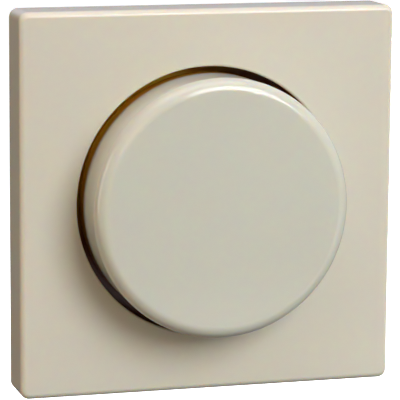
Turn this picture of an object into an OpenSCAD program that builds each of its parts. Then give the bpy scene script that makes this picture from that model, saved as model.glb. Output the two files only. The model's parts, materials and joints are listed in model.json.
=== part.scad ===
// Rotary push dimmer for a wall box: square centre plate, round knob and snap-in insert.
// The front faces -Y and +Z is up. The origin is on the knob's axis, in the plane of the
// plate's rear rim. Sub-parts are drawn with x to the right, y up and z out of the wall,
// and wall() turns them into that frame.

/* [Cover plate] */
// Width and height of the square plate
plate_w = 55; // [55:0.5:70]
// How far the plate's face stands in front of its rear rim
plate_t = 7; // [6.5:0.1:10]
// Radius of the plate's upright corners
plate_corner = 1.3; // [1:0.1:4]
// Radius of the plate's rounded front edges
plate_edge = 0.8; // [0.3:0.1:1]
// Thickness of the plate's side walls
plate_wall = 1.8; // [1.2:0.1:2.4]
// Thickness of the plate's face
plate_face = 1.8; // [1.2:0.1:2.4]
// Thickness of the well's floor
floor_t = 1.6; // [1:0.1:2]
// Thickness of the well's round wall
well_wall = 1.5; // [1:0.1:2]
// Radius of the rounding on the well's lip
well_lip = 0.3; // [0.1:0.05:0.6]

/* [Knob] */
// Radius of the knob at its widest circle
knob_r = 18.5; // [15:0.5:22.5]
// How far the knob's face stands in front of the plate
knob_proud = 7.9; // [6:0.1:11]
// Radius of the rounding between the knob's face and its side
knob_edge = 1.8; // [0.8:0.1:3]
// Gap between the knob and the well's wall
well_gap = 0.85; // [0.5:0.05:1.5]
// How far the knob's skirt dips below the plate's face
skirt_dip = 2.9; // [2:0.1:3.2]
// Thickness of the knob's skirt
knob_wall = 1.6; // [1:0.1:2.2]
// Thickness of the knob's face
knob_face = 2; // [1.2:0.1:2.6]
// How far the knob can be pushed in
push_travel = 1.5; // [1:0.1:1.8]

/* [Spindle and bush] */
// Radius of the control spindle
spindle_r = 3; // [2.5:0.1:3.6]
// Radial running gap of the spindle in its bush and rotor
run_gap = 0.04; // [0.02:0.01:0.08]
// Thread radius of the bush that holds the plate
bush_r = 5; // [4.6:0.1:6]
// Thread pitch of the bush
thread_pitch = 0.75; // [0.5:0.05:1]
// Width across the flats of the plate's nut
nut_flats = 13; // [12.5:0.5:16]
// Thickness of the nut
nut_t = 2.4; // [2:0.1:2.6]

/* [Potentiometer] */
// Outer radius of the potentiometer
pot_r = 9.8; // [9:0.1:10]
// Depth of the potentiometer between the lid and the circuit board
pot_h = 8; // [8:0.1:11]

/* [Insert] */
// Outer width and height of the insert's housing
housing_w = 44; // [44:0.5:46]
// Wall thickness of the housing
base_wall = 1.6; // [1:0.1:1.8]
// Room behind the circuit board
rear_room = 11; // [11:0.1:14]
// Thickness of the steel frame
frame_t = 1.2; // [1:0.1:2]
// How far the steel frame stays inside the plate's outline, on each side
frame_inset = 2.5; // [2.2:0.1:3]
// Thickness of the housing's lid
lid_t = 1.6; // [1.4:0.1:2.4]
// Thickness of the circuit board
pcb_t = 1.6; // [1:0.1:2]
// Thickness of the wall frame's edge that the latches grip
panel_t = 2.4; // [1.5:0.1:3]

/* [Terminals] */
// Distance between two terminals
terminal_pitch = 9.6; // [9.4:0.1:9.8]
// Radius of a wire entry
wire_r = 1.75; // [1.3:0.05:2]
// Thread radius of a clamp screw
clamp_screw_r = 1.5; // [1.2:0.05:1.7]

/* [Hidden] */
$fn = 96;

// Small overrun that lets a cut pass clean through a face
over = 1;
// Gap between fixed pieces that are only pushed together
seat_gap = 0.03;
// Gap between neighbours that must not touch while one of them moves
free_gap = 0.1;

// Levels along the knob's axis, in front of the plate's rear rim
knob_top = plate_t + knob_proud;
crease_z = knob_top - knob_edge;
skirt_z = plate_t - skirt_dip;
ceiling_z = knob_top - knob_face;
washer_t = 0.6;
bush_top = floor_t + washer_t + nut_t + 0.6;
hub_bottom = bush_top + push_travel + 0.8;
spindle_top = ceiling_z - 0.4;

// Levels behind the plate's rear rim
lid_front = -frame_t;
lid_back = lid_front - lid_t;
pcb_front = lid_back - pot_h;
pcb_back = pcb_front - pcb_t;
floor_front = pcb_back - rear_room;
base_back = floor_front - base_wall;

// Cover plate
well_r = knob_r + well_gap;
hollow_w = plate_w - 2 * plate_wall;
frame_w = plate_w - 2 * frame_inset;
frame_corner = 2;
pin_r = 1.2;
pin_at = frame_w / 2 - 2.8;
rib_t = 1.2;

// Knob
skirt_draft = 0.15;
parting_step = 0.06;
hub_r = spindle_r + 2.4;
hub_flange_r = hub_r + 1.6;
hub_flange_t = 1.6;
socket_wall = 1.4;
socket_drop = 3.6;
knob_ribs = 8;
knob_rib_drop = 3;
leaf_t = 0.4;
leaf_w = 3.4;
flat_y = spindle_r - 1;

// Spindle: groove, shoulder and double flat, from front to rear
bush_flange_t = 1.2;
bush_back = lid_back - bush_flange_t;
clip_t = 0.5;
groove_r = spindle_r - 0.5;
groove_front = bush_back - free_gap;
groove_back = groove_front - clip_t;
shoulder_z = groove_back - 0.2;
tail_r = spindle_r - 0.4;
tail_half = tail_r - 0.7;
tail_z = pcb_front;

// Potentiometer
pot_wall = 0.5;
pot_floor_t = 0.8;
pot_floor = pcb_front + pot_floor_t;
track_t = 0.8;
track_top = pot_floor + track_t;
track_in = tail_r + 2.6;
carbon_t = 0.1;
pot_inner_r = pot_r - pot_wall;
rotor_top = shoulder_z - push_travel - 0.2;
rotor_hub_r = tail_r + 1.8;
rotor_disc_t = 1.4;
rotor_disc_back = track_top + 0.9;
rotor_r = pot_inner_r - 1;
contact_t = 0.3;
finger_r = 0.45;
finger_at = (track_in + pot_inner_r) / 2;
lug_r = 0.4;
lug_at = pot_inner_r - 1.3;
lug_angles = [-110, -90, -70];

// Push switch behind the circuit board
switch_w = 12;
switch_wall = 0.8;
switch_lid_t = 0.8;
switch_depth = 8;
plunger_r = 2;
plunger_top = tail_z - 0.05;
flange_top = pcb_back - switch_lid_t - free_gap;
flange_r = 4;
flange_t = 0.9;
bridge_top = flange_top - flange_t;
bridge_t = 0.4;
bridge_w = 2.4;
bridge_half = switch_w / 2 - switch_wall - 0.7;
spigot_r = 1.2;
spigot_len = 1.4;
coil_wire_r = 0.25;
coil_r = 2;
coil_turns = 5;
fixed_contact_t = 0.4;
finger_top = bridge_top - bridge_t - push_travel - 0.05;
switch_back = pcb_back - switch_depth;

// Housing
base_corner = 5;
base_edge = 1.2;
inner_w = housing_w - 2 * base_wall;
inner_corner = base_corner - base_wall;
post_at = inner_w / 2 - 2.8;
post_r = 2.6;
screw_r = 1.25;
screw_head_r = screw_r + 1.15;
screw_len = 8;
pcb_w = inner_w - 0.4;
pcb_notch = pcb_w / 2 - post_at + post_r + 0.3;
ledge_y = 13.5;
ledge_w = 3;
ledge_depth = 1.2;
stay_x = inner_w / 2 - 1.8;
stay_y = 11.5;
stay_r = 1.1;
vent_count = 5;
vent_w = 1.4;
vent_pitch = 3.2;
vent_len = rear_room - 4;
vent_z = (floor_front + pcb_back) / 2;
relief = 0.4;
label_w = 28;
label_h = 14;
label_y = 7;
entry_rim = 1.1;
entry_groove = 0.5;
gauge_w = 1;
gauge_len = 8;
gauge_x = 15.4;

// Steel frame's side flanges, latches and rivets
flange_x = housing_w / 2 + 0.05;
flange_len = 30;
flange_depth = 9;
latch_t = 0.5;
latch_len = 16;
latch_x = flange_x + frame_t;
latch_out = frame_w / 2 + 0.9;
rivet_r = 1;
rivet_head_r = 1.8;
rivet_head_t = 0.6;
rivet_y = 5.5;
rivet_z = -frame_t - 6;

// Power switch, lying flat against the steel frame
tab_size = [9.8, 15.4, 1.3];
tab_x = -inner_w / 2 + 0.2;
tab_y = -7.7;
pad_t = 0.3;
pad_rim = 0.2;
tab_front = lid_front - pad_t;
tab_back = tab_front - tab_size[2];
body_len = 9.2;
body_t = 3.2;
lead_w = 0.8;
lead_t = 0.5;
lead_pitch = 2.54;
lead_out = 1.6;
lead_z = tab_back - 1.6;
window_gap = 0.3;
tab_hole_at = [tab_x + tab_size[0] / 2, tab_y + tab_size[1] - 2.8];
tab_hole_r = 1.5;

// Parts on the circuit board, placed from its centre
choke_at = [-12.6, 8.6];
choke_in = 3.2;
choke_out = 6;
choke_h = 6;
winding_t = 0.8;
x2_size = [17.5, 7.6, 10.3];
x2_at = [-3.6, 11.6];
can_at = [-13.4, -4];
can_r = 4;
can_h = 9.2;
resistor_x = [8, 11];
resistor_r = 1.1;
resistor_len = 6.2;
resistor_span = 9.5;
chip_size = [5, 3.9, 1.5];
chip_at = [0, 14.5];
film_size = [6, 13, 6.4];
film_at = [12.4, -6.5];

// Fuse beside the switch
fuse_x = 16.2;
fuse_y = 1.2;
fuse_len = 20;
fuse_glass_r = 2.3;
fuse_bore_r = 1.7;
fuse_cap_r = 2.6;
fuse_cap_len = 5;
clip_wall = 0.4;
clip_len = 4;
clip_foot = 1;
fuse_z = pcb_back - clip_foot - fuse_cap_r - clip_wall;

// Terminals along the lower edge
terminals = [-1, 0, 1];
block_y = -inner_w / 2;
block_w = 3 * terminal_pitch;
block_h = 9.2;
block_wall = 1;
pocket_w = 7;
cage_size = [6.6, 6.4, 6];
cage_y = block_y + 1.6;
cage_foot = 1.8;
cage_top = 0.9;
cage_z = (floor_front + block_wall + pcb_back) / 2 - 0.6;
bar_size = [3.4, 0.8];
bar_y = cage_y + cage_size[1] - cage_top - bar_size[1];
window_h = cage_size[1] - cage_foot - cage_top;
window_w = 4.6;
wire_y = cage_y + cage_foot + (window_h - bar_size[1]) / 2;
screw_head = 2;
screw_head_t = 1.2;
access_r = screw_head + 0.2;

// Turns a sub-part from its own frame into the dimmer's frame
module wall() {
    rotate([90, 0, 0]) children();
}

// Copies a sub-part to the left side as well
module both_sides() {
    children();
    mirror([1, 0, 0]) children();
}

// Rectangle with round corners
module rounded_rect(w, h, r) {
    square([w - 2 * r, h], center = true);
    square([w, h - 2 * r], center = true);
    for (x = [-1, 1], y = [-1, 1])
        translate([x * (w / 2 - r), y * (h / 2 - r)]) circle(r);
}

// Outline of a slab's rim, from the centre of its corner outwards
module rim_profile(t, corner, edge) {
    square([corner, t - edge]);
    square([corner - edge, t]);
    intersection() {
        translate([corner - edge, t - edge]) circle(edge);
        square([corner, t]);
    }
}

// Square slab with round corners and a rounded front edge
module rounded_slab(w, t, corner, edge) {
    side = w / 2 - corner;
    translate([-side, -side, 0]) cube([2 * side, 2 * side, t]);
    for (a = [0:90:270]) rotate([0, 0, a]) {
        translate([side, 0, 0]) rotate([90, 0, 0])
            linear_extrude(2 * side, center = true) rim_profile(t, corner, edge);
        translate([side, side, 0]) rotate_extrude() rim_profile(t, corner, edge);
    }
}

// Ring between two radii
module ring(r_out, r_in, h) {
    difference() {
        cylinder(r = r_out, h = h);
        translate([0, 0, -over]) cylinder(r = r_in, h = h + 2 * over);
    }
}

// Places a shape at the housing's four posts
module at_posts() {
    for (x = [-1, 1], y = [-1, 1]) translate([x * post_at, y * post_at, 0]) children();
}

// Places a shape at two opposite corners of the frame, so the plate goes on one way
module at_pins() {
    for (s = [-1, 1]) translate([s * pin_at, s * pin_at, 0]) children();
}

// Places a shape at each terminal
module at_terminals() {
    for (i = terminals) translate([i * terminal_pitch, 0, 0]) children();
}

// ---- Cover plate and knob ----

// Cut that rounds the well's lip
module lip_cut() {
    rotate_extrude() difference() {
        translate([well_r - over, plate_t - well_lip]) square([well_lip + over, 2 * well_lip]);
        translate([well_r + well_lip, plate_t - well_lip]) circle(well_lip);
    }
}

// Ribs between the well's wall and the side walls
module plate_ribs() {
    rib_top = plate_t - plate_face / 2;
    difference() {
        for (a = [0:45:315], tilt = [-9, 9]) rotate([0, 0, a + tilt])
            translate([well_r, -rib_t / 2, 1]) cube([plate_w, rib_t, rib_top - 1]);
        // The ribs end inside the side walls
        difference() {
            translate([0, 0, plate_t / 2]) cube([3 * plate_w, 3 * plate_w, 3 * plate_t], center = true);
            keep = hollow_w + plate_wall;
            translate([-keep / 2, -keep / 2, -over]) cube([keep, keep, plate_t + 2 * over]);
        }
    }
}

module cover_plate() {
    color("#D3CAB6") wall() difference() {
        union() {
            difference() {
                rounded_slab(plate_w, plate_t, plate_corner, plate_edge);
                translate([0, 0, -over]) linear_extrude(plate_t - plate_face + over)
                    rounded_rect(hollow_w, hollow_w, 1);
            }
            cylinder(r = well_r + well_wall, h = plate_t - plate_face / 2);
            plate_ribs();
            at_pins() translate([0, 0, -frame_t]) cylinder(r = pin_r, h = plate_t);
        }
        translate([0, 0, floor_t]) cylinder(r = well_r, h = plate_t);
        lip_cut();
        translate([0, 0, -over]) cylinder(r = bush_r + free_gap, h = floor_t + 2 * over);
    }
}

// Half outline of the knob: drafted skirt, parting edge and rounded rim
module knob_outline() {
    top_r = knob_r - knob_edge;
    polygon([[0, skirt_z], [knob_r - parting_step - skirt_draft, skirt_z],
        [knob_r - parting_step, crease_z], [0, crease_z]]);
    translate([0, crease_z - over]) square([top_r, knob_edge + over]);
    intersection() {
        translate([top_r, crease_z]) circle(knob_edge);
        translate([0, crease_z]) square([knob_r + over, knob_edge + over]);
    }
}

module knob_cap() {
    inner_r = knob_r - knob_wall;
    socket_r = hub_flange_r + seat_gap;
    color("#C9C4B4") wall() {
        difference() {
            rotate_extrude() knob_outline();
            translate([0, 0, skirt_z - over]) cylinder(r = inner_r, h = ceiling_z - skirt_z + over);
        }
        translate([0, 0, ceiling_z - socket_drop])
            ring(socket_r + socket_wall, socket_r, socket_drop + knob_face / 2);
        for (i = [0:knob_ribs - 1]) rotate([0, 0, i * 360 / knob_ribs])
            translate([socket_r + socket_wall / 2, -rib_t / 2, ceiling_z - knob_rib_drop])
                cube([inner_r - socket_r, rib_t, knob_rib_drop + knob_face / 2]);
    }
}

module knob_hub() {
    color("#E4E0D6") wall() difference() {
        union() {
            translate([0, 0, hub_bottom]) cylinder(r = hub_r, h = ceiling_z - hub_bottom);
            translate([0, 0, ceiling_z - hub_flange_t]) cylinder(r = hub_flange_r, h = hub_flange_t);
        }
        intersection() {
            translate([0, 0, hub_bottom - over])
                cylinder(r = spindle_r + seat_gap, h = ceiling_z - hub_bottom + 2 * over);
            translate([-hub_r, -hub_r, hub_bottom - 2 * over])
                cube([2 * hub_r, hub_r + flat_y + leaf_t, ceiling_z - hub_bottom + 4 * over]);
        }
    }
}

// Leaf along the spindle's flat, with a foot under the hub's end
module hub_spring() {
    color("#B8B4A8") wall() {
        translate([-leaf_w / 2, flat_y, hub_bottom - leaf_t])
            cube([leaf_w, leaf_t, ceiling_z - hub_bottom - leaf_t]);
        translate([-leaf_w / 2, flat_y, hub_bottom - leaf_t])
            cube([leaf_w, hub_r - flat_y - 0.6, leaf_t]);
    }
}

// ---- Spindle, bush, nut and potentiometer ----

// Round bar with two flats, and the bore that fits it with a gap
module double_flat(gap, h) {
    intersection() {
        cylinder(r = tail_r + gap, h = h);
        translate([-tail_half - gap, -spindle_r, -over])
            cube([2 * (tail_half + gap), 2 * spindle_r, h + 2 * over]);
    }
}

module spindle() {
    chamfer = 0.4;
    color("#D8D2C0") wall() {
        difference() {
            rotate_extrude() polygon([[0, shoulder_z], [spindle_r, shoulder_z],
                [spindle_r, groove_back], [groove_r, groove_back], [groove_r, groove_front],
                [spindle_r, groove_front], [spindle_r, spindle_top - chamfer],
                [spindle_r - chamfer, spindle_top], [0, spindle_top]]);
            translate([-spindle_r - over, flat_y, hub_bottom - leaf_t - free_gap])
                cube([2 * (spindle_r + over), spindle_r, spindle_top - hub_bottom + over + 2]);
        }
        translate([0, 0, tail_z]) double_flat(0, shoulder_z - tail_z);
    }
}

// Open retaining ring in the spindle's groove
module spindle_clip() {
    color("#8E9296") wall() translate([0, 0, groove_back + 0.02]) difference() {
        ring(spindle_r + 1.4, groove_r + 0.02, clip_t - 0.04);
        translate([-groove_r * 0.7, 0, -over]) cube([groove_r * 1.4, spindle_r + 2, clip_t + 2 * over]);
    }
}

// Threaded bush with the flange that closes the potentiometer
module pot_bush() {
    root_r = bush_r - 0.35;
    turns = floor((bush_top - lid_back - 1) / thread_pitch);
    thread = [for (i = [0:turns - 1], k = [0, 1])
        [k == 0 ? root_r : bush_r, bush_top - 0.3 - (turns - i - k / 2) * thread_pitch]];
    color("#C9A65A") wall() rotate_extrude() polygon(concat(
        [[spindle_r + run_gap, bush_back], [pot_inner_r - seat_gap, bush_back],
            [pot_inner_r - seat_gap, lid_back], [bush_r, lid_back], [bush_r, thread[0][1] - 0.3]],
        thread,
        [[root_r, bush_top - 0.3], [root_r, bush_top], [spindle_r + run_gap, bush_top]]));
}

module plate_nut() {
    nut_z = floor_t + washer_t;
    color("#C7CACC") wall() difference() {
        translate([0, 0, nut_z]) cylinder(d = nut_flats / cos(30), h = nut_t, $fn = 6);
        translate([0, 0, nut_z - over]) cylinder(r = bush_r + seat_gap, h = nut_t + 2 * over);
    }
}

module plate_washer() {
    color("#B9BCBE") wall() translate([0, 0, floor_t])
        ring(nut_flats / 2 + 1.5, bush_r + free_gap, washer_t);
}

// Places a shape at each of the potentiometer's three lugs
module at_lugs() {
    for (a = lug_angles) translate([lug_at * cos(a), lug_at * sin(a), 0]) children();
}

module pot_case() {
    color("#3A3C40") wall() difference() {
        translate([0, 0, pcb_front]) cylinder(r = pot_r, h = pot_h);
        translate([0, 0, pot_floor]) cylinder(r = pot_inner_r, h = pot_h);
        translate([0, 0, pcb_front - over]) cylinder(r = tail_r + 0.4, h = pot_h);
        at_lugs() translate([0, 0, pcb_front - over]) cylinder(r = lug_r + free_gap, h = pot_h);
    }
}

module wiper_rotor() {
    rotor_back = pot_floor + 0.05;
    color("#E8E6DE") wall() difference() {
        union() {
            translate([0, 0, rotor_back]) cylinder(r = rotor_hub_r, h = rotor_top - rotor_back);
            translate([0, 0, rotor_disc_back]) cylinder(r = rotor_r, h = rotor_disc_t);
        }
        translate([0, 0, rotor_back - over]) double_flat(run_gap, rotor_top - rotor_back + 2 * over);
    }
}

// Contact ring under the rotor, with fingers that reach down to the track
module wiper_contact() {
    plate_z = rotor_disc_back - contact_t;
    finger_z = track_top + carbon_t + 0.05;
    color("#D9B65C") wall() {
        translate([0, 0, plate_z]) ring(rotor_r - 0.4, rotor_hub_r + 0.05, contact_t);
        for (a = [78, 90, 102]) rotate([0, 0, a]) translate([finger_at, 0, finger_z])
            cylinder(r = finger_r, h = plate_z - finger_z + contact_t / 2);
    }
}

module pot_track() {
    color("#7A5A34") wall() translate([0, 0, pot_floor]) difference() {
        ring(pot_inner_r - seat_gap, track_in, track_t);
        at_lugs() translate([0, 0, -over]) cylinder(r = lug_r, h = track_t + 2 * over);
    }
}

// Printed horseshoe track, open at the lugs
module carbon_track() {
    half_w = 0.8;
    color("#26221E") wall() translate([0, 0, track_top]) difference() {
        ring(finger_at + half_w, finger_at - half_w, carbon_t);
        translate([-lug_at / 2, -pot_r, -over]) cube([lug_at, pot_r, carbon_t + 2 * over]);
    }
}

module pot_terminals() {
    color("#C8C2B0") wall() at_lugs() translate([0, 0, pcb_back - 0.9])
        cylinder(r = lug_r, h = track_top - pcb_back + 0.9);
}

// ---- Push switch ----

module switch_case() {
    room = switch_w - 2 * switch_wall;
    color("#2F3B46") wall() difference() {
        translate([-switch_w / 2, -switch_w / 2, switch_back])
            cube([switch_w, switch_w, switch_depth - switch_lid_t]);
        translate([-room / 2, -room / 2, switch_back + switch_wall])
            cube([room, room, switch_depth]);
    }
}

module switch_lid() {
    color("#3C4A57") wall() difference() {
        translate([-switch_w / 2, -switch_w / 2, pcb_back - switch_lid_t])
            cube([switch_w, switch_w, switch_lid_t]);
        translate([0, 0, pcb_back - switch_depth]) cylinder(r = plunger_r + free_gap, h = 2 * switch_depth);
    }
}

module switch_plunger() {
    color("#C8503C") wall() {
        translate([0, 0, flange_top - flange_t / 2])
            cylinder(r = plunger_r, h = plunger_top - flange_top + flange_t / 2);
        translate([0, 0, bridge_top]) cylinder(r = flange_r, h = flange_t);
        translate([0, 0, bridge_top - spigot_len]) cylinder(r = spigot_r, h = spigot_len + flange_t / 2);
    }
}

module contact_bridge() {
    pad_half = coil_r + coil_wire_r;
    color("#D9B65C") wall() translate([0, 0, bridge_top - bridge_t]) difference() {
        union() {
            translate([-bridge_half, -bridge_w / 2, 0]) cube([2 * bridge_half, bridge_w, bridge_t]);
            cylinder(r = pad_half, h = bridge_t);
        }
        translate([0, 0, -over]) cylinder(r = spigot_r + seat_gap, h = bridge_t + 2 * over);
    }
}

// A point of the coil spring: t runs along the wire and a around it
function coil_point(t, a, low, high) = let (
    turn = 360 * coil_turns * t,
    rho = coil_r + coil_wire_r * cos(a),
    height = low + (high - low) * t + coil_wire_r * sin(a)
) [rho * cos(turn), rho * sin(turn), height];

module return_spring() {
    sides = 6;
    steps = 16 * coil_turns;
    low = switch_back + switch_wall + coil_wire_r;
    high = bridge_top - bridge_t - coil_wire_r;
    points = [for (s = [0:steps], k = [0:sides - 1])
        coil_point(s / steps, k * 360 / sides, low, high)];
    skin = [for (s = [0:steps - 1], k = [0:sides - 1]) let (n = (k + 1) % sides)
        [s * sides + k, s * sides + n, (s + 1) * sides + n, (s + 1) * sides + k]];
    ends = [[for (k = [sides - 1:-1:0]) k], [for (k = [0:sides - 1]) steps * sides + k]];
    color("#9CA0A4") wall() polyhedron(points, concat(skin, ends), convexity = 10);
}

// Fixed contacts: a leg down each side wall, with a finger turned in under the bridge
module switch_contacts() {
    leg_x = switch_w / 2 - switch_wall - fixed_contact_t;
    leg_top = pcb_back - switch_lid_t;
    finger_back = finger_top - fixed_contact_t;
    color("#D9B65C") wall() both_sides() {
        translate([leg_x, -bridge_w / 2, finger_back])
            cube([fixed_contact_t, bridge_w, leg_top - finger_back]);
        translate([bridge_half - 1.3, -bridge_w / 2, finger_back])
            cube([leg_x - bridge_half + 1.5, bridge_w, fixed_contact_t]);
    }
}

// ---- Steel frame, latches and housing ----

module support_frame() {
    hole_h = frame_t + 2 * over;
    color("#AEB2B5") wall() difference() {
        union() {
            translate([0, 0, -frame_t]) linear_extrude(frame_t)
                rounded_rect(frame_w, frame_w, frame_corner);
            both_sides() translate([flange_x, -flange_len / 2, -flange_depth])
                cube([frame_t, flange_len, flange_depth - frame_t / 2]);
        }
        translate([0, 0, -frame_t - over]) cylinder(r = bush_r + free_gap, h = hole_h);
        at_pins() translate([0, 0, -frame_t - over]) cylinder(r = pin_r + free_gap, h = hole_h);
        at_posts() {
            translate([0, 0, -frame_t])
                cylinder(r1 = screw_r + seat_gap, r2 = screw_head_r + seat_gap, h = frame_t);
            translate([0, 0, -frame_t - over]) cylinder(r = screw_r + seat_gap, h = hole_h);
        }
        translate([tab_hole_at[0], tab_hole_at[1], -frame_t - over])
            cylinder(r = tab_hole_r + seat_gap, h = hole_h);
        both_sides() for (y = [-1, 1]) translate([flange_x - over, y * rivet_y, rivet_z])
            rotate([0, 90, 0]) cylinder(r = rivet_r + seat_gap, h = frame_t + 2 * over);
    }
}

// Sprung strips that snap behind the wall frame's edge
module side_latches() {
    foot = -flange_depth + 0.4;
    bend = rivet_z + 2.6;
    catch_z = -panel_t;
    outline = [[latch_x, foot], [latch_x + latch_t, foot], [latch_x + latch_t, bend],
        [latch_out, catch_z - 0.9], [latch_out, catch_z], [frame_w / 2, catch_z],
        [latch_x, bend + latch_t]];
    color("#9FA4A8") wall() both_sides() difference() {
        translate([0, latch_len / 2, 0]) rotate([90, 0, 0]) linear_extrude(latch_len) polygon(outline);
        for (y = [-1, 1]) translate([latch_x - over, y * rivet_y, rivet_z])
            rotate([0, 90, 0]) cylinder(r = rivet_r + seat_gap, h = latch_t + 2 * over);
    }
}

module latch_rivets() {
    color("#C4C8CB") wall() both_sides() for (y = [-1, 1])
        translate([flange_x, y * rivet_y, rivet_z]) rotate([0, 90, 0]) {
            cylinder(r = rivet_r, h = frame_t + latch_t + rivet_head_t / 2);
            translate([0, 0, frame_t + latch_t]) cylinder(r = rivet_head_r, h = rivet_head_t);
        }
}

module housing_lid() {
    color("#E3E1D9") wall() {
        difference() {
            translate([0, 0, lid_back]) linear_extrude(lid_t)
                rounded_rect(housing_w, housing_w, base_corner);
            translate([0, 0, lid_back - over]) cylinder(r = bush_r + free_gap, h = lid_t + 2 * over);
            at_posts() translate([0, 0, lid_back - over])
                cylinder(r = screw_r + free_gap, h = lid_t + 2 * over);
            // Window for the power switch and its pad
            translate([tab_x - window_gap, tab_y - window_gap, lid_back - over])
                cube([tab_size[0] + 2 * window_gap, tab_size[1] + 2 * window_gap, lid_t + 2 * over]);
        }
        // Stays that hold the circuit board down
        for (x = [-1, 1], y = [-1, 1]) translate([x * stay_x, y * stay_y, pcb_front])
            cylinder(r = stay_r, h = pot_h + lid_t / 2);
    }
}

// Row of cooling slots through the top wall
module vents() {
    span = (vent_count - 1) * vent_pitch + vent_w;
    for (i = [0:vent_count - 1])
        translate([i * vent_pitch - span / 2, inner_w / 2 - over, vent_z - vent_len / 2])
            cube([vent_w, base_wall + 2 * over, vent_len]);
}

// Shallow marks in the rear face: label seat, rings round the wire entries and strip gauge
module rear_reliefs() {
    translate([0, 0, base_back - over]) {
        translate([0, label_y, 0]) linear_extrude(over + relief) rounded_rect(label_w, label_h, 1.5);
        at_terminals() translate([0, wire_y, 0])
            ring(wire_r + entry_rim + entry_groove, wire_r + entry_rim, over + relief);
        translate([gauge_x, wire_y - gauge_len / 2, 0]) cube([gauge_w, gauge_len, over + relief]);
    }
}

module housing_base() {
    depth = lid_back - base_back;
    root_z = floor_front - base_wall / 2;
    color("#E9E7E0") wall() difference() {
        union() {
            difference() {
                translate([0, 0, lid_back]) mirror([0, 0, 1])
                    rounded_slab(housing_w, depth, base_corner, base_edge);
                translate([0, 0, floor_front]) linear_extrude(depth)
                    rounded_rect(inner_w, inner_w, inner_corner);
            }
            // Corner posts for the screws
            at_posts() translate([0, 0, root_z]) cylinder(r = post_r, h = lid_back - root_z);
            // Webs between the posts and the corners
            for (x = [-1, 1], y = [-1, 1]) scale([x, y, 1]) translate([post_at, post_at, root_z])
                cube([post_r - 0.3, post_r - 0.3, lid_back - root_z]);
            // Ledges under the circuit board
            both_sides() for (y = [-1, 1])
                translate([inner_w / 2 - ledge_depth, y * ledge_y - ledge_w / 2, root_z])
                    cube([ledge_depth + base_wall / 2, ledge_w, pcb_back - root_z]);
        }
        for (a = [-90, 0, 90]) rotate([0, 0, a]) vents();
        rear_reliefs();
        at_posts() translate([0, 0, lid_back - screw_len])
            cylinder(r = screw_r + seat_gap, h = screw_len + over);
        at_terminals() {
            translate([0, wire_y, base_back - over]) cylinder(r = wire_r, h = base_wall + 2 * over);
            translate([0, block_y + over, cage_z]) rotate([90, 0, 0])
                cylinder(r = access_r, h = base_wall + 2 * over);
        }
    }
}

module housing_screws() {
    slot = 0.5;
    tip_z = lid_back - screw_len + 0.5;
    color("#B5B8BA") wall() at_posts() difference() {
        union() {
            translate([0, 0, -frame_t]) cylinder(r1 = screw_r, r2 = screw_head_r, h = frame_t);
            translate([0, 0, tip_z]) cylinder(r = screw_r, h = -frame_t / 2 - tip_z);
        }
        translate([-screw_head_r, -slot / 2, -slot]) cube([2 * screw_head_r, slot, 2 * slot]);
        translate([-slot / 2, -screw_head_r, -slot]) cube([slot, 2 * screw_head_r, 2 * slot]);
    }
}

module circuit_board() {
    color("#2F6B3C") wall() translate([0, 0, pcb_back]) difference() {
        translate([-pcb_w / 2, -pcb_w / 2, 0]) cube([pcb_w, pcb_w, pcb_t]);
        for (x = [-1, 1], y = [-1, 1]) translate([x * pcb_w / 2, y * pcb_w / 2, 0])
            cube([2 * pcb_notch, 2 * pcb_notch, 3 * pcb_t], center = true);
        translate([0, 0, -over]) cylinder(r = tail_r + 0.4, h = pcb_t + 2 * over);
        at_lugs() translate([0, 0, -over]) cylinder(r = lug_r + seat_gap, h = pcb_t + 2 * over);
    }
}

// ---- Power switch and the parts on the circuit board ----

module thermal_pad() {
    color("#9AA7AE") wall() difference() {
        translate([tab_x - pad_rim, tab_y - pad_rim, tab_front])
            cube([tab_size[0] + 2 * pad_rim, tab_size[1] + 2 * pad_rim, pad_t]);
        translate([tab_hole_at[0], tab_hole_at[1], tab_front - over])
            cylinder(r = tab_hole_r + seat_gap, h = pad_t + 2 * over);
    }
}

module triac_tab() {
    color("#C2C5C7") wall() difference() {
        translate([tab_x, tab_y, tab_back]) cube(tab_size);
        translate([tab_hole_at[0], tab_hole_at[1], tab_back - over])
            cylinder(r = tab_hole_r + seat_gap, h = tab_size[2] + 2 * over);
    }
}

module triac_body() {
    color("#2A2B2D") wall() difference() {
        translate([tab_x, tab_y, tab_back - body_t]) cube([tab_size[0], body_len, body_t]);
        for (k = [-1, 0, 1])
            translate([tab_hole_at[0] + k * lead_pitch - lead_w / 2, tab_y - over, lead_z - lead_t])
                cube([lead_w, 1 + over, lead_t]);
    }
}

// Three leads that leave the body's lower end and turn down to the circuit board
module triac_leads() {
    color("#C9CCCE") wall() for (k = [-1, 0, 1])
        translate([tab_hole_at[0] + k * lead_pitch - lead_w / 2, 0, 0]) {
            translate([0, tab_y - lead_out, lead_z - lead_t]) cube([lead_w, lead_out + 1, lead_t]);
            translate([0, tab_y - lead_out, pcb_front]) cube([lead_w, lead_t, lead_z - pcb_front]);
        }
}

module triac_rivet() {
    shank = rivet_head_t / 2 - tab_back;
    color("#CBCED0") wall() translate([tab_hole_at[0], tab_hole_at[1], 0]) {
        translate([0, 0, -shank]) cylinder(r = tab_hole_r, h = shank);
        translate([0, 0, tab_back - rivet_head_t]) cylinder(r = tab_hole_r + 1, h = rivet_head_t);
    }
}

// Space taken by the winding's wire inside, outside, under and over the core
module choke_core() {
    color("#B9A24A") wall() translate([choke_at[0], choke_at[1], pcb_back - winding_t - choke_h])
        ring(choke_out, choke_in, choke_h);
}

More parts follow.
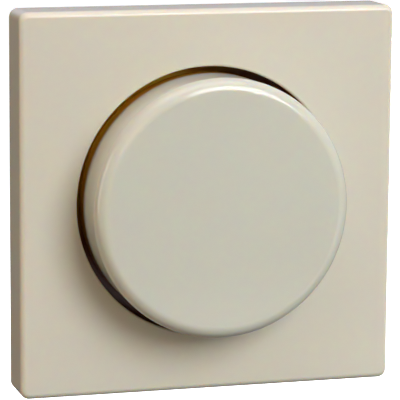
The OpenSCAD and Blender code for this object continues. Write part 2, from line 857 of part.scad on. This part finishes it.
// Winding sleeve round the core, open where its two ends meet
module choke_winding() {
    gap = 3;
    color("#A85A2A") wall() translate([choke_at[0], choke_at[1], pcb_back]) difference() {
        translate([0, 0, -choke_h - 2 * winding_t])
            ring(choke_out + winding_t, choke_in - winding_t, choke_h + 2 * winding_t);
        translate([0, 0, -choke_h - winding_t]) ring(choke_out, choke_in, choke_h);
        translate([-gap / 2, 0, -2 * choke_h]) cube([gap, 2 * choke_out, 4 * choke_h]);
    }
}

module x2_capacitor() {
    color("#D8B62C") wall() translate([x2_at[0], x2_at[1], pcb_back - x2_size[2]]) cube(x2_size);
}

module film_capacitor() {
    color("#B04030") wall() translate([film_at[0], film_at[1], pcb_front]) cube(film_size);
}

// Aluminium can with its rolled groove
module smoothing_capacitor() {
    groove = 0.3;
    color("#3B4A63") wall() translate([can_at[0], can_at[1], pcb_back - can_h]) rotate_extrude()
        polygon([[0, 0], [can_r, 0], [can_r, can_h - 1.8], [can_r - groove, can_h - 1.5],
            [can_r, can_h - 1.2], [can_r, can_h], [0, can_h]]);
}

// One resistor along y, with its leads turned to the circuit board
module resistor() {
    lead_r = 0.3;
    body_z = pcb_back - resistor_r - 0.3;
    translate([0, resistor_len / 2, body_z]) rotate([90, 0, 0])
        cylinder(r = resistor_r - 0.15, h = resistor_len);
    for (s = [-1, 1]) {
        cap_y = s * (resistor_len / 2 - 0.7);
        translate([0, cap_y + 0.7, body_z]) rotate([90, 0, 0]) cylinder(r = resistor_r, h = 1.4);
        translate([0, s * resistor_span / 2, body_z - lead_r])
            cylinder(r = lead_r, h = pcb_back - body_z + lead_r);
    }
    translate([0, resistor_span / 2, body_z]) rotate([90, 0, 0]) cylinder(r = lead_r, h = resistor_span);
}

module resistors() {
    color("#C9A77A") wall() for (x = resistor_x) translate([x, 0, 0]) resistor();
}

// Eight-legged chip on the front of the board, above the potentiometer
module control_chip() {
    lift = 0.2;
    leg = 0.4;
    leg_pitch = 1.27;
    reach = 0.9;
    leg_len = chip_size[1] + 2 * reach;
    color("#232427") wall() translate([chip_at[0], chip_at[1], pcb_front]) {
        translate([-chip_size[0] / 2, -chip_size[1] / 2, lift]) cube(chip_size);
        for (i = [-1.5:1:1.5]) translate([i * leg_pitch - leg / 2, -leg_len / 2, 0]) difference() {
            cube([leg, leg_len, lift + leg]);
            translate([-over, reach, -over]) cube([3 * over, chip_size[1], lift + over]);
        }
    }
}

// ---- Fuse ----

// Places a shape along the fuse, from its middle
module at_fuse() {
    translate([fuse_x, fuse_y, fuse_z]) rotate([90, 0, 0]) children();
}

module fuse_tube() {
    glass_len = fuse_len - 1;
    color("#DCE9EC") wall() at_fuse() translate([0, 0, -glass_len / 2])
        ring(fuse_glass_r, fuse_bore_r, glass_len);
}

module fuse_caps() {
    color("#C9CCCE") wall() at_fuse() for (s = [0, 1]) mirror([0, 0, s]) difference() {
        translate([0, 0, fuse_len / 2 - fuse_cap_len]) cylinder(r = fuse_cap_r, h = fuse_cap_len);
        translate([0, 0, fuse_len / 2 - fuse_cap_len - over])
            cylinder(r = fuse_glass_r + seat_gap, h = fuse_cap_len + over - 0.5);
    }
}

module fuse_wire() {
    wire_len = fuse_len - 1;
    color("#A9ADB0") wall() at_fuse() translate([0, 0, -wire_len / 2]) cylinder(r = 0.15, h = wire_len);
}

// Sprung clips round the caps, each on its foot
module fuse_clips() {
    mouth = 3.2;
    clip_r = fuse_cap_r + clip_wall;
    color("#C8B070") wall() translate([fuse_x, fuse_y, fuse_z])
        for (s = [-1, 1]) translate([0, s * (fuse_len - fuse_cap_len) / 2 + clip_len / 2, 0]) {
            difference() {
                rotate([90, 0, 0]) cylinder(r = clip_r, h = clip_len);
                translate([0, over, 0]) rotate([90, 0, 0])
                    cylinder(r = fuse_cap_r + seat_gap, h = clip_len + 2 * over);
                translate([-mouth / 2, -clip_len - over, -2 * clip_r])
                    cube([mouth, clip_len + 2 * over, 2 * clip_r]);
            }
            translate([-1.2, -clip_len, fuse_cap_r + clip_wall / 2])
                cube([2.4, clip_len, clip_foot + clip_wall / 2]);
        }
}

// ---- Terminals ----

module terminal_block() {
    block_top = block_y + block_h;
    color("#D9D7CE") wall() difference() {
        translate([-block_w / 2, block_y, floor_front]) cube([block_w, block_h, pcb_back - floor_front]);
        at_terminals() {
            translate([-pocket_w / 2, cage_y - 0.3, floor_front + block_wall])
                cube([pocket_w, cage_size[1] + 0.6, pcb_back - floor_front]);
            translate([0, wire_y, floor_front - over]) cylinder(r = wire_r, h = block_wall + 2 * over);
            translate([0, block_top, cage_z]) rotate([90, 0, 0])
                translate([0, 0, block_h / 2]) cylinder(r = clamp_screw_r + 0.2, h = block_h);
        }
    }
}

module terminal_cages() {
    color("#C9A65A") wall() at_terminals() difference() {
        translate([-cage_size[0] / 2, cage_y, cage_z - cage_size[2] / 2]) cube(cage_size);
        translate([-window_w / 2, cage_y + cage_foot, cage_z - cage_size[2]])
            cube([window_w, window_h, 2 * cage_size[2]]);
        translate([0, cage_y + cage_foot + over, cage_z]) rotate([90, 0, 0])
            cylinder(r = clamp_screw_r + seat_gap, h = cage_foot + 2 * over);
    }
}

module terminal_screws() {
    tip_y = cage_y + cage_foot + 0.4;
    slot = 0.5;
    color("#C4C8CB") wall() at_terminals() difference() {
        union() {
            translate([0, tip_y, cage_z]) rotate([90, 0, 0])
                cylinder(r = clamp_screw_r, h = tip_y - block_y + screw_head_t / 2);
            translate([0, block_y, cage_z]) rotate([90, 0, 0])
                cylinder(r = screw_head, h = screw_head_t);
        }
        translate([-screw_head, block_y - 2 * screw_head_t, cage_z - slot / 2])
            cube([2 * screw_head, screw_head_t * 1.6, slot]);
    }
}

// Bars from each cage to the circuit board
module terminal_bars() {
    bar_back = cage_z - cage_size[2] / 2;
    color("#B98F45") wall() at_terminals()
        translate([-bar_size[0] / 2, bar_y, bar_back])
            cube([bar_size[0], bar_size[1], pcb_back - bar_back]);
}

cover_plate();
knob_cap();
knob_hub();
hub_spring();
spindle();
spindle_clip();
plate_nut();
plate_washer();
pot_bush();
pot_case();
wiper_rotor();
wiper_contact();
pot_track();
carbon_track();
pot_terminals();
switch_case();
switch_lid();
switch_plunger();
contact_bridge();
return_spring();
switch_contacts();
support_frame();
side_latches();
latch_rivets();
housing_lid();
housing_base();
housing_screws();
circuit_board();
triac_tab();
triac_body();
triac_leads();
thermal_pad();
triac_rivet();
choke_core();
choke_winding();
x2_capacitor();
film_capacitor();
smoothing_capacitor();
resistors();
control_chip();
fuse_tube();
fuse_caps();
fuse_wire();
fuse_clips();
terminal_block();
terminal_cages();
terminal_screws();
terminal_bars();
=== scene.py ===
"""Rotary push dimmer: materials, wound parts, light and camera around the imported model.
Metres throughout. The front faces -Y, +Z is up, and the knob's axis is the Y axis."""

import json
import math

import bmesh
import bpy
from mathutils import Matrix, Vector


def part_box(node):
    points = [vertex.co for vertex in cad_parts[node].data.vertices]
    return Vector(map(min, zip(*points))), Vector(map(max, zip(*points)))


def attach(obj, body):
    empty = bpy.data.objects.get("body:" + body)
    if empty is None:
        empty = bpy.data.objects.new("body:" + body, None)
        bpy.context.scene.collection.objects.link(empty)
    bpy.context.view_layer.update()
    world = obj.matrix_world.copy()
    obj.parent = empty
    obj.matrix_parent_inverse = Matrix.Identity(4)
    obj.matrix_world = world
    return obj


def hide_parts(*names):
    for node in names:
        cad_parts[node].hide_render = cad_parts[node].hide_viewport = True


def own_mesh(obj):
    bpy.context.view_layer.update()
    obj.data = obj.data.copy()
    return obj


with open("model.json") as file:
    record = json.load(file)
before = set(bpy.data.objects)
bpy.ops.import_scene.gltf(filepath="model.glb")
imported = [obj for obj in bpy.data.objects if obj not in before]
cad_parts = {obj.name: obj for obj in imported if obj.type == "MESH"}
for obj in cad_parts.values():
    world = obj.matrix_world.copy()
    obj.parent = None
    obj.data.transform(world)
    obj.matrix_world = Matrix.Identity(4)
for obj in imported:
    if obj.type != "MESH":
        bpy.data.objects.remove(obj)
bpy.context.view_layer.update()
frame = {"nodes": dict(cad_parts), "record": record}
NODES = frame["nodes"]
MM = 0.001
PLATE_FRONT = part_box("cover_plate")[0].y
WELL_GAP = 0.85 * MM
WELL_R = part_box("knob_cap")[1].x + WELL_GAP


# ---------------------------------------------------------------- materials


def new_material(name):
    """An empty node material with its Principled shader: (material, nodes, links, shader)."""
    material = bpy.data.materials.new(name)
    material.use_nodes = True
    nodes, links = material.node_tree.nodes, material.node_tree.links
    return material, nodes, links, nodes["Principled BSDF"]


def coordinates(nodes, links, stretch=(1, 1, 1)):
    """Object coordinates, stretched where a grain runs one way, in metres."""
    place = nodes.new("ShaderNodeTexCoord")
    mapping = nodes.new("ShaderNodeMapping")
    mapping.inputs["Scale"].default_value = stretch
    links.new(place.outputs["Object"], mapping.inputs["Vector"])
    return mapping.outputs["Vector"]


def noise(nodes, links, vector, scale, detail=3.0, roughness=0.5):
    """Noise with its features about 1 / scale metres across."""
    texture = nodes.new("ShaderNodeTexNoise")
    texture.inputs["Scale"].default_value = scale
    texture.inputs["Detail"].default_value = detail
    texture.inputs["Roughness"].default_value = roughness
    links.new(vector, texture.inputs["Vector"])
    return texture.outputs["Fac"]


def remap(nodes, links, value, low, high, start=0.3, end=0.7):
    """value from start-end to low-high. Noise mostly lies from 0.3 to 0.7."""
    ranged = nodes.new("ShaderNodeMapRange")
    ranged.inputs["From Min"].default_value = start
    ranged.inputs["From Max"].default_value = end
    ranged.inputs["To Min"].default_value = low
    ranged.inputs["To Max"].default_value = high
    links.new(value, ranged.inputs["Value"])
    return ranged.outputs["Result"]


def two_tone(nodes, links, value, colour_a, colour_b, start=0.3, end=0.7):
    """A colour between two, by value from start to end."""
    ramp = nodes.new("ShaderNodeValToRGB")
    ramp.color_ramp.elements[0].position = start
    ramp.color_ramp.elements[1].position = end
    ramp.color_ramp.elements[0].color = (*colour_a, 1)
    ramp.color_ramp.elements[1].color = (*colour_b, 1)
    links.new(value, ramp.inputs["Fac"])
    return ramp.outputs["Color"]


def bump(nodes, links, height, shader, distance):
    """Adds height as a bump, distance metres deep."""
    bumped = nodes.new("ShaderNodeBump")
    bumped.inputs["Strength"].default_value = 1.0
    bumped.inputs["Distance"].default_value = distance
    links.new(height, bumped.inputs["Height"])
    links.new(bumped.outputs["Normal"], shader.inputs["Normal"])


def shaded(colour, factor):
    """A colour made lighter or darker."""
    return tuple(min(1.0, channel * factor) for channel in colour)


def moulded(name, colour, rough, spread=0.05, grain=900, depth=0.004):
    """Moulded plastic: faint cloudiness, fine orange peel and uneven gloss."""
    material, nodes, links, shader = new_material(name)
    place = coordinates(nodes, links)
    cloud = noise(nodes, links, place, 45, 2.0)
    skin = noise(nodes, links, place, grain, 2.0)
    links.new(
        two_tone(nodes, links, cloud, shaded(colour, 1 - spread), shaded(colour, 1 + spread)),
        shader.inputs["Base Color"],
    )
    links.new(remap(nodes, links, skin, rough * 0.85, rough * 1.15), shader.inputs["Roughness"])
    bump(nodes, links, skin, shader, depth * MM)
    shader.inputs["IOR"].default_value = 1.5
    return material


def object_axis(nodes, links, direction):
    """How far a point lies along a direction, in metres."""
    along = nodes.new("ShaderNodeVectorMath")
    along.operation = "DOT_PRODUCT"
    along.inputs[1].default_value = direction
    links.new(coordinates(nodes, links), along.inputs[0])
    return along.outputs["Value"]


def axis_distance(nodes, links):
    """Distance from the knob's axis."""
    across = nodes.new("ShaderNodeVectorMath")
    across.operation = "MULTIPLY"
    across.inputs[1].default_value = (1, 0, 1)
    links.new(coordinates(nodes, links), across.inputs[0])
    radius = nodes.new("ShaderNodeVectorMath")
    radius.operation = "LENGTH"
    links.new(across.outputs["Vector"], radius.inputs[0])
    return radius.outputs["Value"]


def product(nodes, links, a, b):
    """a times b."""
    both = nodes.new("ShaderNodeMath")
    both.operation = "MULTIPLY"
    links.new(a, both.inputs[0])
    links.new(b, both.inputs[1])
    return both.outputs["Value"]


def mixed(nodes, links, factor, colour_a, colour_b):
    """colour_a turning into the constant colour_b by factor."""
    mix = nodes.new("ShaderNodeMix")
    mix.data_type = "RGBA"
    mix.inputs["B"].default_value = (*colour_b, 1)
    links.new(factor, mix.inputs["Factor"])
    links.new(colour_a, mix.inputs["A"])
    return mix.outputs["Result"]


def translucent(name, colour, rough, shade, amber):
    """Glossy cream plastic that scatters light below its surface. Inside the gap round the knob its
    colour is painted by place: painted shade that turns to a painted amber glow of light towards the
    upper left."""
    material, nodes, links, shader = new_material(name)
    place = coordinates(nodes, links)
    cloud = noise(nodes, links, place, 45, 2.0)
    wave = noise(nodes, links, place, 160, 1.0)
    base = two_tone(nodes, links, cloud, shaded(colour, 0.98), shaded(colour, 1.02), 0, 1)
    radius = axis_distance(nodes, links)
    depth = object_axis(nodes, links, (0, 1, 0))
    upper_left = object_axis(nodes, links, (-math.sqrt(0.5), 0, math.sqrt(0.5)))
    # Masks for the gap round the knob, where shade is painted, and for its upper left side, where a glow
    # of light is painted.
    within = remap(nodes, links, radius, 1, 0, WELL_R, WELL_R + 0.3 * MM)
    behind = remap(nodes, links, depth, 0, 1, PLATE_FRONT + 0.1 * MM, PLATE_FRONT + 1.2 * MM)
    lit = remap(nodes, links, upper_left, 0, 1, 0.4 * WELL_R, WELL_R)
    gap = product(nodes, links, within, behind)
    glow = product(nodes, links, gap, lit)
    # Painted shade in the gap, then the painted amber glow on its upper left.
    with_painted_shade = mixed(nodes, links, gap, base, shade)
    links.new(mixed(nodes, links, glow, with_painted_shade, amber), shader.inputs["Base Color"])
    links.new(remap(nodes, links, wave, rough * 0.94, rough * 1.06, 0, 1), shader.inputs["Roughness"])
    bump(nodes, links, wave, shader, 0.0005 * MM)
    shader.inputs["IOR"].default_value = 1.45
    shader.inputs["Subsurface Weight"].default_value = 0.9
    shader.inputs["Subsurface Radius"].default_value = (1.0, 0.5, 0.2)
    shader.inputs["Subsurface Scale"].default_value = 2.0 * MM
    return material


def metal(name, colour, rough, stretch=(1, 1, 1), grain=1500, depth=0.001, spread=0.08):
    """Metal with a rolled or turned grain and uneven plating."""
    material, nodes, links, shader = new_material(name)
    place = coordinates(nodes, links, stretch)
    lines = noise(nodes, links, place, grain, 3.0, 0.6)
    cloud = noise(nodes, links, coordinates(nodes, links), 250, 3.0)
    links.new(
        two_tone(nodes, links, cloud, shaded(colour, 1 - spread), shaded(colour, 1 + spread)),
        shader.inputs["Base Color"],
    )
    links.new(remap(nodes, links, lines, rough * 0.85, rough * 1.15), shader.inputs["Roughness"])
    bump(nodes, links, lines, shader, depth * MM)
    shader.inputs["Metallic"].default_value = 1.0
    return material


MATERIALS = {
    # Last two colours: painted shade and painted amber glow in the gap round the knob. The knob's two
    # are one colour, painted evenly all round.
    "plate_plastic": translucent(
        "plate_plastic", (0.62, 0.57, 0.465), 0.25, (0.17, 0.04, 0.002), (0.95, 0.56, 0.03)
    ),
    "knob_plastic": translucent(
        "knob_plastic", (0.575, 0.555, 0.46), 0.11, (0.52, 0.26, 0.02), (0.52, 0.26, 0.02)
    ),
    "hub_plastic": moulded("hub_plastic", (0.74, 0.70, 0.60), 0.45),
    "housing_plastic": moulded("housing_plastic", (0.74, 0.73, 0.68), 0.55, 0.03, 1600, 0.01),
    "terminal_plastic": moulded("terminal_plastic", (0.62, 0.61, 0.56), 0.5, 0.04, 1500, 0.008),
    "rotor_plastic": moulded("rotor_plastic", (0.78, 0.77, 0.72), 0.4),
    "dark_plastic": moulded("dark_plastic", (0.025, 0.032, 0.04), 0.45),
    "component_black": moulded("component_black", (0.012, 0.012, 0.013), 0.5, 0.2, 2500, 0.01),
    "plunger_plastic": moulded("plunger_plastic", (0.45, 0.07, 0.035), 0.4),
    "frame_steel": metal("frame_steel", (0.60, 0.61, 0.60), 0.38, (1, 1, 12), 900, 0.0006),
    "fastener_steel": metal("fastener_steel", (0.66, 0.67, 0.66), 0.34),
    "spring_steel": metal("spring_steel", (0.56, 0.57, 0.58), 0.34, (1, 1, 8), 1500, 0.0006),
    "spindle_nylon": moulded("spindle_nylon", (0.68, 0.63, 0.50), 0.42),
    "pot_steel": metal("pot_steel", (0.30, 0.31, 0.32), 0.4),
    "brass": metal("brass", (0.72, 0.50, 0.18), 0.23),
    "contact_metal": metal("contact_metal", (0.80, 0.58, 0.22), 0.22),
    "track_board": moulded("track_board", (0.20, 0.10, 0.035), 0.5),
    "carbon": moulded("carbon", (0.012, 0.011, 0.010), 0.7),
    "pin_metal": metal("pin_metal", (0.70, 0.69, 0.64), 0.35),
    "board_laminate": moulded("board_laminate", (0.02, 0.12, 0.035), 0.35, 0.15, 1200, 0.01),
    "pad_rubber": moulded("pad_rubber", (0.30, 0.36, 0.40), 0.8),
    "aluminium": metal("aluminium", (0.78, 0.79, 0.80), 0.34),
    "core_powder": moulded("core_powder", (0.50, 0.36, 0.06), 0.55, 0.08, 1400, 0.03),
    "copper": metal("copper", (0.62, 0.20, 0.06), 0.22),
    "capacitor_yellow": moulded("capacitor_yellow", (0.68, 0.44, 0.025), 0.35),
    "capacitor_red": moulded("capacitor_red", (0.38, 0.05, 0.03), 0.34, 0.08),
    "can_sleeve": moulded("can_sleeve", (0.04, 0.065, 0.13), 0.34),
    "resistor_body": moulded("resistor_body", (0.58, 0.38, 0.18), 0.35),
}


def glass():
    """Thin clear glass of the fuse's tube, faintly uneven."""
    material, nodes, links, shader = new_material("fuse_glass")
    place = coordinates(nodes, links)
    ripple = noise(nodes, links, place, 400)
    links.new(two_tone(nodes, links, ripple, (0.93, 0.97, 0.97), (1, 1, 1)), shader.inputs["Base Color"])
    links.new(remap(nodes, links, ripple, 0.01, 0.05), shader.inputs["Roughness"])
    shader.inputs["Transmission Weight"].default_value = 1.0
    shader.inputs["IOR"].default_value = 1.47
    return material


MATERIALS["fuse_glass"] = glass()
SLOT_OF = {part["node"]: part["material_slot"] for part in frame["record"]["subparts"]}
for node, obj in NODES.items():
    obj.data.materials.clear()
    obj.data.materials.append(MATERIALS[SLOT_OF[node]])


# ---------------------------------------------------------------- wound parts


def wire(name, path, radius, material, sides=10):
    """A round wire along a list of points, closed at both ends."""
    mesh = bmesh.new()
    rings = []
    normal = (path[1] - path[0]).orthogonal().normalized()
    for i, point in enumerate(path):
        along = (path[min(i + 1, len(path) - 1)] - path[max(i - 1, 0)]).normalized()
        normal = (normal - along * normal.dot(along)).normalized()
        side = along.cross(normal)
        angles = [2 * math.pi * k / sides for k in range(sides)]
        rings.append([
            mesh.verts.new(point + radius * (math.cos(a) * normal + math.sin(a) * side)) for a in angles
        ])
    for ring, after in zip(rings, rings[1:]):
        for k in range(sides):
            n = (k + 1) % sides
            mesh.faces.new((ring[k], ring[n], after[n], after[k]))
    mesh.faces.new(reversed(rings[0]))
    mesh.faces.new(rings[-1])
    for face in mesh.faces:
        face.smooth = len(face.verts) == 4
    data = bpy.data.meshes.new(name)
    mesh.to_mesh(data)
    mesh.free()
    data.materials.append(MATERIALS[material])
    obj = bpy.data.objects.new(name, data)
    bpy.context.scene.collection.objects.link(obj)
    return obj


def coil_path(low, high, radius, turns, steps=36):
    """A compression spring's wire about the Y axis, with flat turns at both ends."""
    flat = 0.75
    count = turns * steps
    points = []
    for i in range(count + 1):
        turn = turns * i / count
        rise = min(1.0, max(0.0, (turn - flat) / (turns - 2 * flat)))
        angle = 2 * math.pi * turn
        height = low + rise * (high - low)
        points.append(Vector((radius * math.cos(angle), height, radius * math.sin(angle))))
    return points


def offset_rectangle(half_w, half_h, gap, steps=4):
    """Points at a distance from a rectangle, once round it, from the middle of its low side."""
    corners = ((1, -1, -90), (1, 1, 0), (-1, 1, 90), (-1, -1, 180))
    points = [(0.0, -half_h - gap)]
    for x, y, start in corners:
        for k in range(steps + 1):
            angle = math.radians(start + 90 * k / steps)
            points.append((x * half_w + gap * math.cos(angle), y * half_h + gap * math.sin(angle)))
    return points


def winding_path(box, bore_r, gap, turns, opening):
    """A choke's winding: once round its core's section in each turn, leaving an opening at the top."""
    low, high = box
    centre = (low + high) / 2
    outer_r, half_h = (high.x - low.x) / 2, (high.y - low.y) / 2
    mean_r, half_w = (outer_r + bore_r) / 2, (outer_r - bore_r) / 2
    section = offset_rectangle(half_w, half_h, gap)
    count = turns * len(section)
    points = []
    for i in range(count + 1):
        across, height = section[i % len(section)]
        angle = math.pi / 2 + opening / 2 + (2 * math.pi - opening) * i / count
        reach = mean_r + across
        points.append(centre + Vector((reach * math.cos(angle), height, reach * math.sin(angle))))
    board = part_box("circuit_board")[1].y
    ends = [Vector((p.x, board, p.z)) for p in (points[0], points[-1])]
    return [ends[0], *points, ends[1]]


def make_return_spring():
    """The push switch's spring, wound with flat turns at both ends; it stays as wound when the plunger
    travels.
    """
    wire_r, coils, travel = 0.25 * MM, 5, 1.5 * MM
    low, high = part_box("return_spring")
    path = coil_path(low.y + wire_r, high.y - wire_r, high.x - wire_r, coils)
    spring = wire("coil_spring", path, wire_r, "spring_steel")
    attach(spring, "base")
    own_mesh(spring)
    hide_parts("return_spring")


def make_choke_winding():
    """Enamelled wire round the choke's core."""
    bore_r, wire_r, clearance, turns, opening = 3.2 * MM, 0.36 * MM, 0.04 * MM, 19, math.radians(32)
    path = winding_path(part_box("choke_core"), bore_r, wire_r + clearance, turns, opening)
    winding = wire("choke_turns", path, wire_r, "copper")
    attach(winding, "base")
    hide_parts("choke_winding")


make_return_spring()
make_choke_winding()


# ---------------------------------------------------------------- stage, light and camera


def make_floor(size, level):
    """A pale floor well below the object. It's white to the camera and lights nothing."""
    bpy.ops.mesh.primitive_plane_add(size=size, location=(0, 0, level))
    floor = bpy.context.object
    floor.name = "floor"
    material, nodes, links, shader = new_material("floor")
    cloud = noise(nodes, links, coordinates(nodes, links), 3)
    links.new(two_tone(nodes, links, cloud, (0.88, 0.88, 0.87), (0.9, 0.9, 0.9)),
              shader.inputs["Base Color"])
    shader.inputs["Roughness"].default_value = 0.9
    shader.inputs["Emission Color"].default_value = (1, 1, 1, 1)
    shader.inputs["Emission Strength"].default_value = 1.0
    floor.data.materials.append(material)
    floor.visible_diffuse = False
    floor.visible_glossy = False


def soft_box(name, location, size, watts, colour=(1, 1, 1), roll=0.0):
    """A rectangular area light, turned to the object and rolled by an angle in degrees."""
    light = bpy.data.lights.new(name, "AREA")
    light.shape = "RECTANGLE"
    light.size, light.size_y = size
    light.energy = watts
    light.color = colour
    lamp = bpy.data.objects.new(name, light)
    bpy.context.scene.collection.objects.link(lamp)
    lamp.location = location
    turn = (-Vector(location)).to_track_quat("-Z", "Y")
    lamp.rotation_mode = "QUATERNION"
    lamp.rotation_quaternion = turn @ Matrix.Rotation(math.radians(roll), 4, "Z").to_quaternion()
    lamp.visible_camera = False


def make_camera():
    """The camera, left of the knob's axis and a little above it."""
    azimuth, elevation, roll = math.radians(-16.28), math.radians(9.98), math.radians(0.43)
    distance = 366.4 * MM
    aim = Vector((-1.38 * MM, PLATE_FRONT, 0.23 * MM))
    back = Vector((
        math.sin(azimuth) * math.cos(elevation),
        -math.cos(azimuth) * math.cos(elevation),
        math.sin(elevation),
    ))
    data = bpy.data.cameras.new("camera")
    data.sensor_width = 36
    data.lens = 231.6
    data.clip_start = 0.01
    camera = bpy.data.objects.new("camera", data)
    bpy.context.scene.collection.objects.link(camera)
    camera.location = aim + back * distance
    turn = (-back).to_track_quat("-Z", "Y")
    camera.rotation_mode = "QUATERNION"
    camera.rotation_quaternion = turn @ Matrix.Rotation(roll, 4, "Z").to_quaternion()
    bpy.context.scene.camera = camera


def make_surroundings(ambient):
    """White surroundings for the camera, which give only a little ambient light."""
    world = bpy.data.worlds.new("studio")
    bpy.context.scene.world = world
    world.use_nodes = True
    nodes, links = world.node_tree.nodes, world.node_tree.links
    background = nodes["Background"]
    background.inputs["Color"].default_value = (1, 1, 1, 1)
    path = nodes.new("ShaderNodeLightPath")
    level = nodes.new("ShaderNodeMapRange")
    level.inputs["To Min"].default_value = ambient
    level.inputs["To Max"].default_value = 1.0
    links.new(path.outputs["Is Camera Ray"], level.inputs["Value"])
    links.new(level.outputs["Result"], background.inputs["Strength"])


def make_light():
    """A key light on the upper right, two above, soft ones on the left, one on the right behind
    for the rear, and a low card that shows in the knob's face."""
    make_surroundings(0.042)
    soft_box("key", (0.20, -0.46, 0.26), (0.32, 0.32), 3.5, (0.85, 0.925, 1.0))
    soft_box("top", (0.05, 0.55, 0.30), (0.9, 0.35), 1.0, (0.74, 0.80, 1.0))
    soft_box("over", (0.0, -0.10, 0.6), (0.6, 0.5), 2.25, (0.90, 0.86, 1.0))
    soft_box("left", (-0.55, -0.20, 0.0), (0.4, 0.4), 0.4, (1.0, 0.6, 0.3))
    soft_box("left_strip", (-0.50, -0.01, 0.08), (0.12, 0.34), 0.75, (0.95, 0.96, 0.90))
    soft_box("front_left", (-0.15, -0.52, 0.16), (0.20, 0.20), 0.28, (1.0, 0.68, 0.2))
    soft_box("right_rear", (0.38, 0.46, -0.05), (0.3, 0.3), 3.0)
    soft_box("card", (0.057, -0.167, -0.080), (0.30, 0.07), 0.06, roll=8.0)


make_floor(8.0, -0.12)
make_light()
make_camera()
bpy.context.scene.view_settings.view_transform = "Standard"
